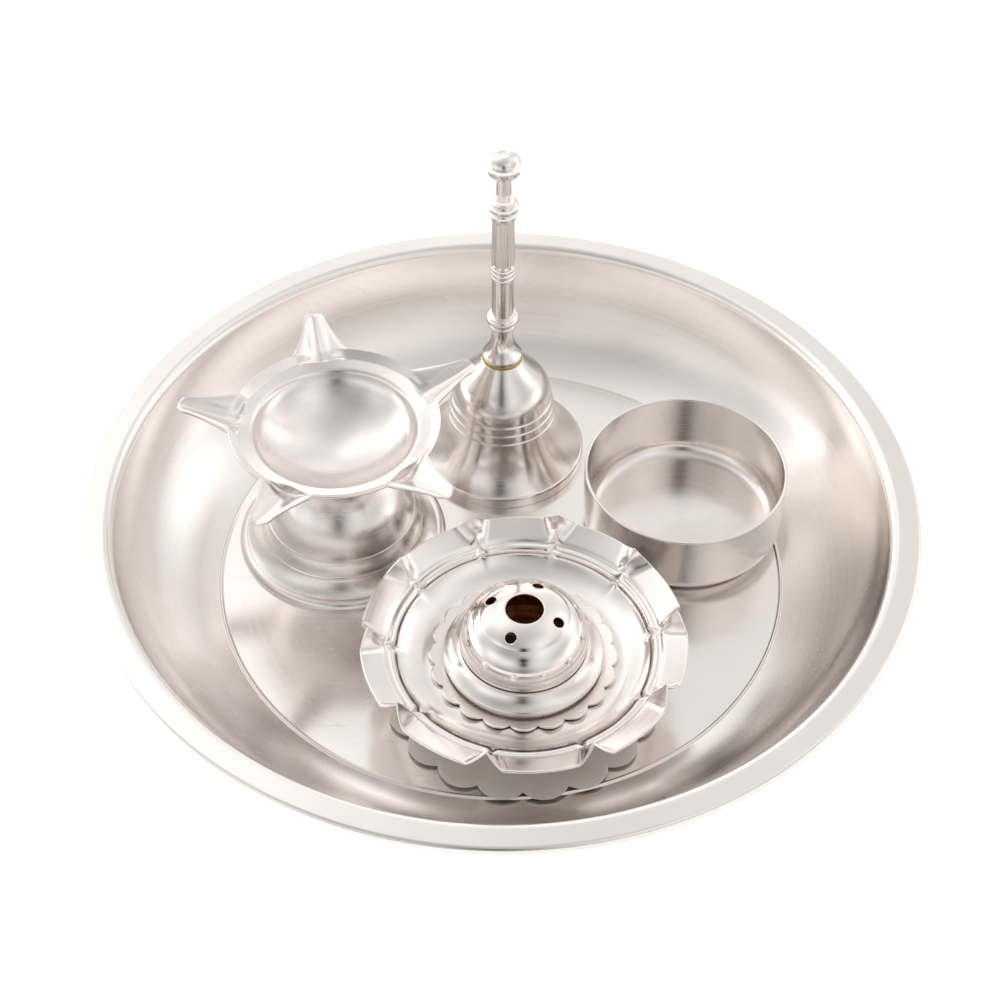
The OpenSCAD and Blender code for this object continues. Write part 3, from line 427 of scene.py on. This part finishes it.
# Ten round-bottomed flutes, cut along the shaft between the beads and the upper collars
flute = np.clip(np.minimum(along - 0.478, 0.705 - along) / 0.006, 0, 1) * (along > 0)
cut = 1 - 0.36 / SHAFT_R * flute * (0.5 + 0.5 * np.cos(10 * angle)) ** 1.6
handle_grid[..., :2] *= cut[..., None]
handle_silver = spun_plate("silver_plate_on_turned_brass_bright_handle", BELL, "#f7f3f0", "#eee7e3",
                           0.16, 0.02, 0.5, 0.0006, 0.2, 12)
fitted(skinned("bell_handle_turned", handle_grid + BELL, False), handle_silver,
       "bell", "bright_silver", "bell_handle")

# The bell's washer, eye nut and clapper. Zinc-plated steel: a link hangs in the nut's eye and carries
# a rod bent to a loop, with a ball pressed on its end.
bell_steel = small_steel("zinc_plated_steel_drawn_clapper", BELL)
dressed(bell_steel, "bell_washer", "bell_eye_nut", "clapper_link", "clapper_rod", "clapper_ball")

# The cup. Spun from one disc: a flat floor, a tight round corner and a straight wall with its rim
# rolled to a bead. The wall has even brush lines round it.
CUP = (58.3, 20.3, FLOOR)
CUP_R, CUP_SHEET, WALL_Z = 32, 1, 23.3
corner_middle = (26.2, 5.8)
cup_inner = joined([0, CUP_SHEET], arc(corner_middle, 4.8, -90, 0, 18), [CUP_R - CUP_SHEET, WALL_Z])
cup_outer = joined([CUP_R, WALL_Z], [CUP_R, 5.8], arc(corner_middle, 5.8, 0, -90, 18), [0, 0])
cup_bead = arc((31.5, 23.4), 0.52, 190, -10, 14)
cup_loop = braced(np.vstack([cup_inner, cup_bead, cup_outer]), 0.25, 4)
cup_grid = turned(cup_loop, (0, 0, 0), 256)
# The rim is out of round by a few hundredths of a millimetre
cup_turn = np.arctan2(cup_grid[..., 1], cup_grid[..., 0])
cup_grid[..., :2] *= (1 - 0.0012 * (1 + np.cos(2 * cup_turn + 0.7)) / 2)[..., None]
# The cup's outer side stands on the bead ring: it is turned by its lean about its foot's inner side
CUP_LEAN, FOOT_R = 0.529, 28.4
cup_away, cup_lean = np.exp(1j * np.arctan2(CUP[1], CUP[0])), np.exp(1j * np.radians(CUP_LEAN))
flat = (cup_grid[..., 0] + 1j * cup_grid[..., 1]) / cup_away
raised = (flat.real + FOOT_R + 1j * cup_grid[..., 2]) * cup_lean
flat = (raised.real - FOOT_R + 1j * flat.imag) * cup_away
cup_grid = np.stack([flat.real, flat.imag, raised.imag], -1)
cup_silver = spun_plate("silver_plate_on_spun_brass_lined", CUP, "#f5f0ec", "#eae3de",
                        0.19, 0.03, 0.8, 0.0012, 0.5)
fitted(skinned("cup_spun", cup_grid + CUP, False), cup_silver, "cup", "satin_silver", "cup_body")

# The incense stand's base plate. Blanked with 18 lobes, raised in the middle over the nut, and
# dished up a little at the lobes.
STAND = (6.8, -48.8, FLOOR)
STAND_SHEET, BASE_D, BASE_LOBES = 0.7, 82.8, 18


def lobed(a, d, count):
    """Edge radius at angle a of a disc with round lobes: the far crossing of the ray with the circle
    of the nearest lobe."""
    half = np.pi / count
    r = d / 2 * np.sin(half) * 1.32 / (1 + np.sin(half) * 1.32)
    off = (a + half) % (2 * half) - half
    middle = d / 2 - r
    return middle * np.cos(off) + np.sqrt(np.maximum(r**2 - (middle * np.sin(off)) ** 2, 0))


def lobed_plate(d, count, path, t, steps):
    """A thin plate whose section is followed out to the lobed edge: a row's share of the way out is
    its share of the edge's radius, and past the last bend the height runs on along its slope."""
    a = np.linspace(0, 2 * np.pi, count * steps, endpoint=False)
    edge = lobed(a, d, count)
    bend_r, bend_z = path[-2]
    slope = (path[-1][1] - bend_z) / (path[-1][0] - bend_r)
    inner = softened(np.vstack([path[:-1], [path[-2][0] + 1, path[-2][1] + slope]]), 0.3)
    inner = inner[inner[:, 0] <= bend_r + 0.5]
    inner = inner[np.argmin(inner[:, 0]) :]
    r = np.vstack([np.repeat(inner[:, :1], len(a), 1)] +
                  [bend_r + 0.6 + (edge - bend_r - 0.6) * s for s in (0.25, 0.5, 0.75, 0.94, 1)])
    z = np.where(r > bend_r, bend_z + slope * (r - bend_r), 0)
    z[: len(inner)] = inner[:, 1:]
    over = np.stack([r * np.cos(a), r * np.sin(a), z], -1)
    below = over - (0, 0, t)
    over[-1, :, 2] -= 0.15
    below[-1, :, 2] += 0.15
    rim = (over[-1] + below[-1]) / 2 * (1 + 0.2 * t / d, 1 + 0.2 * t / d, 1)
    return np.vstack([over, rim[None], below[::-1]])


base_section = [[BORE_R, 4.1], [9, 4.1], [12, STAND_SHEET], [27.3, STAND_SHEET], [BASE_D / 2, 1.8]]
base_silver = spun_plate("silver_plate_on_blanked_brass_satin", STAND, "#f6f2ee", "#eee7e2",
                         0.62, 0.03, 0.9, 0.0008, 0.2)
base_grid = lobed_plate(BASE_D, BASE_LOBES, base_section, STAND_SHEET, 24) + STAND
fitted(skinned("stand_base_blanked", base_grid, True), base_silver, "stand", "bright_silver", "stand_base")

# The stand's pedestal. A waisted spinning of the same plated brass, clamped between the base plate and
# the crimped tray.
PEDESTAL_TOP = 14.5
waist = (12.42, 8.7)
pedestal_path = joined(
    [BORE_R, PEDESTAL_TOP], [17.39, PEDESTAL_TOP],
    arc_to((17.39, PEDESTAL_TOP), waist, -90, 14),
    arc_to(waist, (23.18, 1.4), -12, 16), [23.18, STAND_SHEET])
pedestal_grid = turned(sheet(pedestal_path, STAND_SHEET), STAND, 192)
fitted(skinned("stand_pedestal_spun", pedestal_grid, True), base_silver,
       "stand", "bright_silver", "stand_pedestal")

# The crimped tray. Spun thin with a trough and a ledge, then pinched by hand into ten standing folds
# with petals between them, and polished.
TRAY_SEAT = np.add(STAND, (0, 0, 15.2))
FOLDS, FOLD_HALF, LEDGE_R, LEDGE_Z = 10, 1.6, 38.5, 5.6
# The folds stand at nearly even angles, and cross_fold runs over one from foot to foot
even_turn = 36 * np.arange(FOLDS + 1)
ridges = 4.5 + even_turn + 4 * np.cos(np.radians(even_turn + 20))
cross_fold = np.array([-1, -.8, -.62, -.46, -.32, -.2, -.1, -.04, 0, .04, .1, .2, .32, .46, .62, .8])
over_petal = np.linspace(0, 1, 15)[:-1]
fold_all = np.tile(np.r_[cross_fold, np.ones(len(over_petal))], FOLDS)
petal_all = np.tile(np.r_[np.zeros(len(cross_fold)), over_petal], FOLDS)
columns = len(cross_fold) + len(over_petal)
here, following = np.repeat(ridges[:-1], columns), np.repeat(ridges[1:], columns)


def crimp(r, z, width, rise, shift):
    """One row of the tray. Over a fold the height adds the rise times c (0.75 + 0.25 c), with c
    falling evenly from 1 at the crest to 0 at that half width, and the radius adds as much of the
    shift. Between two folds the row is a plain arc."""
    foot = np.degrees(np.arcsin(width / r))
    a = np.radians(here + fold_all * foot + petal_all * (following - here - 2 * foot))
    crest = np.where(petal_all > 0, 0, np.clip(1 - np.abs(fold_all), 0, 1))
    crest = crest * (0.75 + 0.25 * crest)
    q = r + crest * shift
    return np.stack([q * np.cos(a), q * np.sin(a), z + crest * rise], -1)


floor_rows = [crimp(r, 0, FOLD_HALF, 0, 0) for r in (2.2, 4, 14, 20, 24, 26, 27.4)]
trough_end = (37.2, 3.6)
step = joined(arc_to((28, 0), trough_end, 43, 16), arc_to(trough_end, (LEDGE_R, LEDGE_Z), 30, 6))
floor_rows += [crimp(r, z, FOLD_HALF, 0, 1.6 * (z / LEDGE_Z) ** 2) for r, z in step]
out = np.r_[0.02, 0.05, 0.08, 0.11, 0.15, 0.19, 0.23, 0.28, np.linspace(0.35, 0.96, 9), 1]
# Past the ledge the sheet dips by half a millimetre, so that the ledge stands like a bead
petal_rows = [crimp(LEDGE_R + 8.9 * s, LEDGE_Z + 3.6 * s - 0.5 * np.exp(-(((s - 0.15) / 0.08) ** 2)),
                    FOLD_HALF + 3.8 * s, 4.8 * s, 1.6 * (1 - s) - 2.6 * s) for s in out]
crimped = np.array(floor_rows + petal_rows)
crimped_grid = leaf(crimped, STAND_SHEET, len(crimped) + 5)
crimped_silver = spun_plate("silver_plate_on_crimped_brass_polished", TRAY_SEAT, "#f7f2ef", "#eee7e3",
                            0.15, 0.02, 0.9, 0.0006, 0.15, 18)
crimped_tray = fitted(skinned("stand_tray_crimped", crimped_grid + TRAY_SEAT, True), crimped_silver,
                      "stand", "bright_silver", "stand_tray")
# Its underside was never polished, and it scatters light on to the base plate
crimped_tray.data.materials.append(spun_plate(
    "silver_plate_on_crimped_brass_unpolished", TRAY_SEAT, "#f5f1ee", "#ece5e1", 0.4, 0.04, 0.9, 0.001, 0.1))
underside = np.zeros(3 * len(crimped_tray.data.polygons))
crimped_tray.data.polygons.foreach_get("normal", underside)
crimped_tray.data.polygons.foreach_set("material_index", (underside[2::3] < -0.2).astype(int))

# The small disc. A plated brass blank with 20 lobes, dished up at them and clamped in the crimped tray
# under the seat.
DISC_D, DISC_LOBES = 56, 20
disc_section = [[BORE_R, STAND_SHEET], [20, STAND_SHEET], [24, 0.8], [DISC_D / 2, 1.5]]
disc_silver = spun_plate("silver_plate_on_blanked_brass_disc", STAND, "#f5f0ec", "#eae2dd",
                         0.24, 0.03, 0.8, 0.0006, 0.2)
disc_grid = lobed_plate(DISC_D, DISC_LOBES, disc_section, STAND_SHEET, 20) + TRAY_SEAT
fitted(skinned("stand_disc_blanked", disc_grid, True), disc_silver, "stand", "bright_silver", "stand_disc")

# The seat. A shallow spun dish with a small bead, and a cone from it up to the foot of the dome, all
# polished. The dome is pressed into its mouth.
SEAT = np.add(STAND, (0, 0, 15.9))
seat_path = joined([BORE_R, 0], arc((21.2, 0.8), 0.8, -90, 0, 8), [22, 1], arc((22.6, 1.9), 1, -55, 55, 14),
                   arc_to((23.17, 2.72), (19.5, 5.5), 128, 16), [18.6, 5.8])
seat_silver = spun_plate("silver_plate_on_spun_brass_bright_seat", STAND, "#f5f0ed", "#ebe3de",
                         0.17, 0.03, 0.7, 0.0008, 0.3)
fitted(skinned("stand_seat_spun", turned(sheet(seat_path, -STAND_SHEET), SEAT), True), seat_silver,
       "stand", "bright_silver", "stand_seat")

# The dome. Spun thin and polished like a mirror, with a low cone for its cap, one large hole for a
# dhoop stick and four drilled ones for incense. Inside it is bare brass, browned by smoke.
CAP_R, DOME_H, MOUTH_R = 13.3, 21.1, 5.5
HOLE_R, HOLE_AT, HOLE_TURN = 1.7, 10.24, 68
side_middle, side_r = (8.272, 8.758), 10.528
cap_z = side_middle[1] + np.sqrt(side_r**2 - (CAP_R - side_middle[0]) ** 2)
cap_turn = np.degrees(np.arctan2(cap_z - side_middle[1], CAP_R - side_middle[0]))
dome_path = joined(
    [MOUTH_R, DOME_H], arc_to((6.1, DOME_H), (12.7, cap_z + 0.6), -36, 12),
    arc(side_middle, side_r, cap_turn, -32, 40), [17.2, 0.7])
dome = skinned("stand_dome_spun", turned(sheet(dome_path, STAND_SHEET, 0.2, 3), SEAT), True)
cap_lean = np.arctan2(DOME_H - cap_z, CAP_R - MOUTH_R)
plug = turned(np.array([[0, -2], [HOLE_R, -2], [HOLE_R, 2], [0, 2]]), (0, 0, 0), 40)
for turn in np.radians(HOLE_TURN + 90 * np.arange(4)):
    way = Vector((np.cos(turn), np.sin(turn), 0))
    drill = Vector((np.sin(cap_lean) * way.x, np.sin(cap_lean) * way.y, np.cos(cap_lean)))
    ring = way.cross(Vector((0, 0, 1)))
    middle = np.array(SEAT) + (HOLE_AT * way.x, HOLE_AT * way.y,
                               DOME_H - np.tan(cap_lean) * (HOLE_AT - MOUTH_R))
    basis = np.array([ring, drill.cross(ring), drill])
    cutter = skinned("drill", plug @ basis + middle, False)
    hole = dome.modifiers.new("hole", "BOOLEAN")
    hole.object, hole.solver = cutter, "EXACT"
    bpy.context.view_layer.update()
    drilled = bpy.data.meshes.new_from_object(dome.evaluated_get(bpy.context.evaluated_depsgraph_get()))
    dome.modifiers.remove(hole)
    dome.data = drilled
    bpy.data.objects.remove(cutter)
dome.data.name = "stand_dome_spun"
mirror_silver = spun_plate("silver_plate_on_spun_brass_mirror", STAND, "#f6f1ee", "#eee6e1",
                           0.08, 0.015, 0.6, 0.0005, 0.2)
smoked_brass = spun_plate("brass_bare_browned_by_smoke", STAND, "#b8704a", "#7c4028",
                          0.45, 0.08, 0.5, 0.004, 0.2, 3)
fitted(dome, mirror_silver, "stand", "bright_silver", "stand_dome")
# Faces that look towards the dome's middle are its inside
dome.data.materials.append(smoked_brass)
count = len(dome.data.polygons)
centre, facing = np.zeros(3 * count), np.zeros(3 * count)
dome.data.polygons.foreach_get("center", centre)
dome.data.polygons.foreach_get("normal", facing)
centre = centre.reshape(-1, 3) - (np.array(SEAT) + (0, 0, 8)) * 0.001
outward = (centre * facing.reshape(-1, 3)).sum(1) / np.linalg.norm(centre, axis=1)
inside = (outward < 0.3) & (np.hypot(centre[:, 0], centre[:, 1]) < 0.018)
dome.data.polygons.foreach_set("material_index", inside.astype(int))

# The stand's screw, washer and nut. Zinc-plated steel; the screw clamps the stand from the seat down,
# and all three keep the shapes of the solids.
dressed(small_steel("zinc_plated_steel_turned_stand", STAND), "stand_screw", "stand_washer", "stand_nut")

# The table: a plain white sheet of paper. For camera rays it is lifted to white, for glossy rays half
# as much, and it keeps the object's shadow.
TABLE_R, TABLE_Z = 6000, -0.05
table = skinned("table", turned(np.array([[0.0, 0.0], [TABLE_R, 0]]), (0, 0, TABLE_Z), 64), False)
paper = bpy.data.materials.new("white_paper_sweep")
paper.use_nodes = True
tree = paper.node_tree
tree.nodes.clear()
path = add(tree, "LightPath").outputs
seen = add(tree, "Math", {0: path["Is Glossy Ray"], 1: 0.5, 2: path["Is Camera Ray"]},
           operation="MULTIPLY_ADD").outputs[0]
glow = add(tree, "Math", {0: seen, 1: 0.55}, operation="MULTIPLY", use_clamp=True).outputs[0]
matt = add(tree, "BsdfDiffuse", {"Color": colour("#f4f3f2")}).outputs[0]
lifted = add(tree, "Emission", {"Color": colour("#ffffff"), "Strength": glow}).outputs[0]
both = add(tree, "AddShader", {0: matt, 1: lifted}).outputs[0]
add(tree, "OutputMaterial", {0: both})
table.data.materials.append(paper)

# The studio: a light tent of pale grey cloth with soft panels, strongest low at the left, the back and
# the right. Negative panels are the dark camera and the photographer under it. Camera rays see it white.
world = bpy.data.worlds.new("light_tent")
world.use_nodes = True
bpy.context.scene.world = world
tree = world.node_tree
tree.nodes.clear()
way = add(tree, "TexCoord").outputs["Generated"]


def toward(azimuth, height):
    """The unit vector at an azimuth from +Y towards +X and an elevation, in degrees."""
    a, e = np.radians(azimuth), np.radians(height)
    return (float(np.sin(a) * np.cos(e)), float(np.cos(a) * np.cos(e)), float(np.sin(e)))


strength, DARKEST = 0.58, 0.03
# Each panel: azimuth, height, sharpness and strength, as strength times exp(sharpness (cosine - 1))
for azimuth, height, sharpness, panel in (
        (0, 4, 26, 1.1), (30, 4, 26, 0.38), (60, 4, 26, 0.14), (90, 4, 26, 1.4), (120, 4, 26, 0.47),
        (150, 4, 26, 0.08), (270, 4, 26, 1.3), (300, 4, 26, 2.0), (330, 4, 26, 1.1),
        (0, 28, 26, 0.47), (30, 28, 26, 0.14), (60, 28, 26, 0.84), (150, 28, 26, 0.25), (210, 28, 26, 0.32),
        (240, 28, 26, 0.5), (300, 28, 26, 0.78), (330, 28, 26, 0.21),
        (0, 54, 22, 0.09), (45, 54, 22, 0.37), (90, 54, 22, 0.26), (135, 54, 22, 0.38), (270, 54, 22, 0.1),
        (315, 54, 22, 0.6), (-18, 50, 60, 0.4), (180, 4, 26, -0.2), (210, 4, 26, -0.22), (180, 12, 60, -0.15),
        (180, 54, 22, -0.1), (225, 54, 22, -0.17), (181, 45, 110, -0.5), (181, 31, 110, -0.5)):
    cosine = add(tree, "VectorMath", {0: way, 1: toward(azimuth, height)}, operation="DOT_PRODUCT")
    power = add(tree, "Math", {0: cosine.outputs["Value"], 1: float(sharpness), 2: -float(sharpness)},
                operation="MULTIPLY_ADD").outputs[0]
    lobe = add(tree, "Math", {0: power}, operation="EXPONENT").outputs[0]
    strength = add(tree, "Math", {0: lobe, 1: panel, 2: strength}, operation="MULTIPLY_ADD").outputs[0]
strength = add(tree, "Math", {0: strength, 1: DARKEST}, operation="MAXIMUM").outputs[0]
seen = add(tree, "LightPath").outputs["Is Camera Ray"]
strength = add(tree, "Math", {0: strength, 1: seen}, operation="MAXIMUM").outputs[0]
backdrop = add(tree, "Background", {"Color": colour("#fffdfb"), "Strength": strength}).outputs[0]
add(tree, "OutputWorld", {0: backdrop})

# One weak round softbox from above gives the soft shadow on the table, and no reflection of its own
SOFTBOX = (-0.25, 0.1, 0.75)
lamp = bpy.data.lights.new("overhead_softbox", "AREA")
lamp.shape, lamp.size, lamp.energy = "DISK", 0.5, 1.2
lamp_object = bpy.data.objects.new("overhead_softbox", lamp)
lamp_object.location = SOFTBOX
lamp_object.rotation_euler = Vector(SOFTBOX).to_track_quat("Z", "Y").to_euler()
lamp_object.visible_camera = False
lamp_object.visible_glossy = False
bpy.context.scene.collection.objects.link(lamp_object)

# The camera looks down on the thali from its front, with the photograph's lens and tilt. It was solved
# from the tray's rim and bead ring in the photograph.
elevation, roll, distance = np.radians(46.8), np.radians(0.5), 0.6226
back = Vector((0, -np.cos(elevation), np.sin(elevation)))
across = Vector((1, 0, 0))
upward = back.cross(across)
camera = bpy.data.cameras.new("camera")
camera.lens, camera.sensor_width = 68.4, 36
camera.clip_start, camera.clip_end = 0.05, 20
camera_object = bpy.data.objects.new("camera", camera)
camera_x = across * np.cos(roll) + upward * np.sin(roll)
camera_y = upward * np.cos(roll) - across * np.sin(roll)
aim = Vector((-0.0005, 0.0285, 0.0008))
turn = Matrix((camera_x, camera_y, back)).transposed().to_4x4()
camera_object.matrix_world = Matrix.Translation(aim + back * distance) @ turn
bpy.context.scene.collection.objects.link(camera_object)
bpy.context.scene.camera = camera_object
bpy.context.scene.view_settings.view_transform = "Standard"
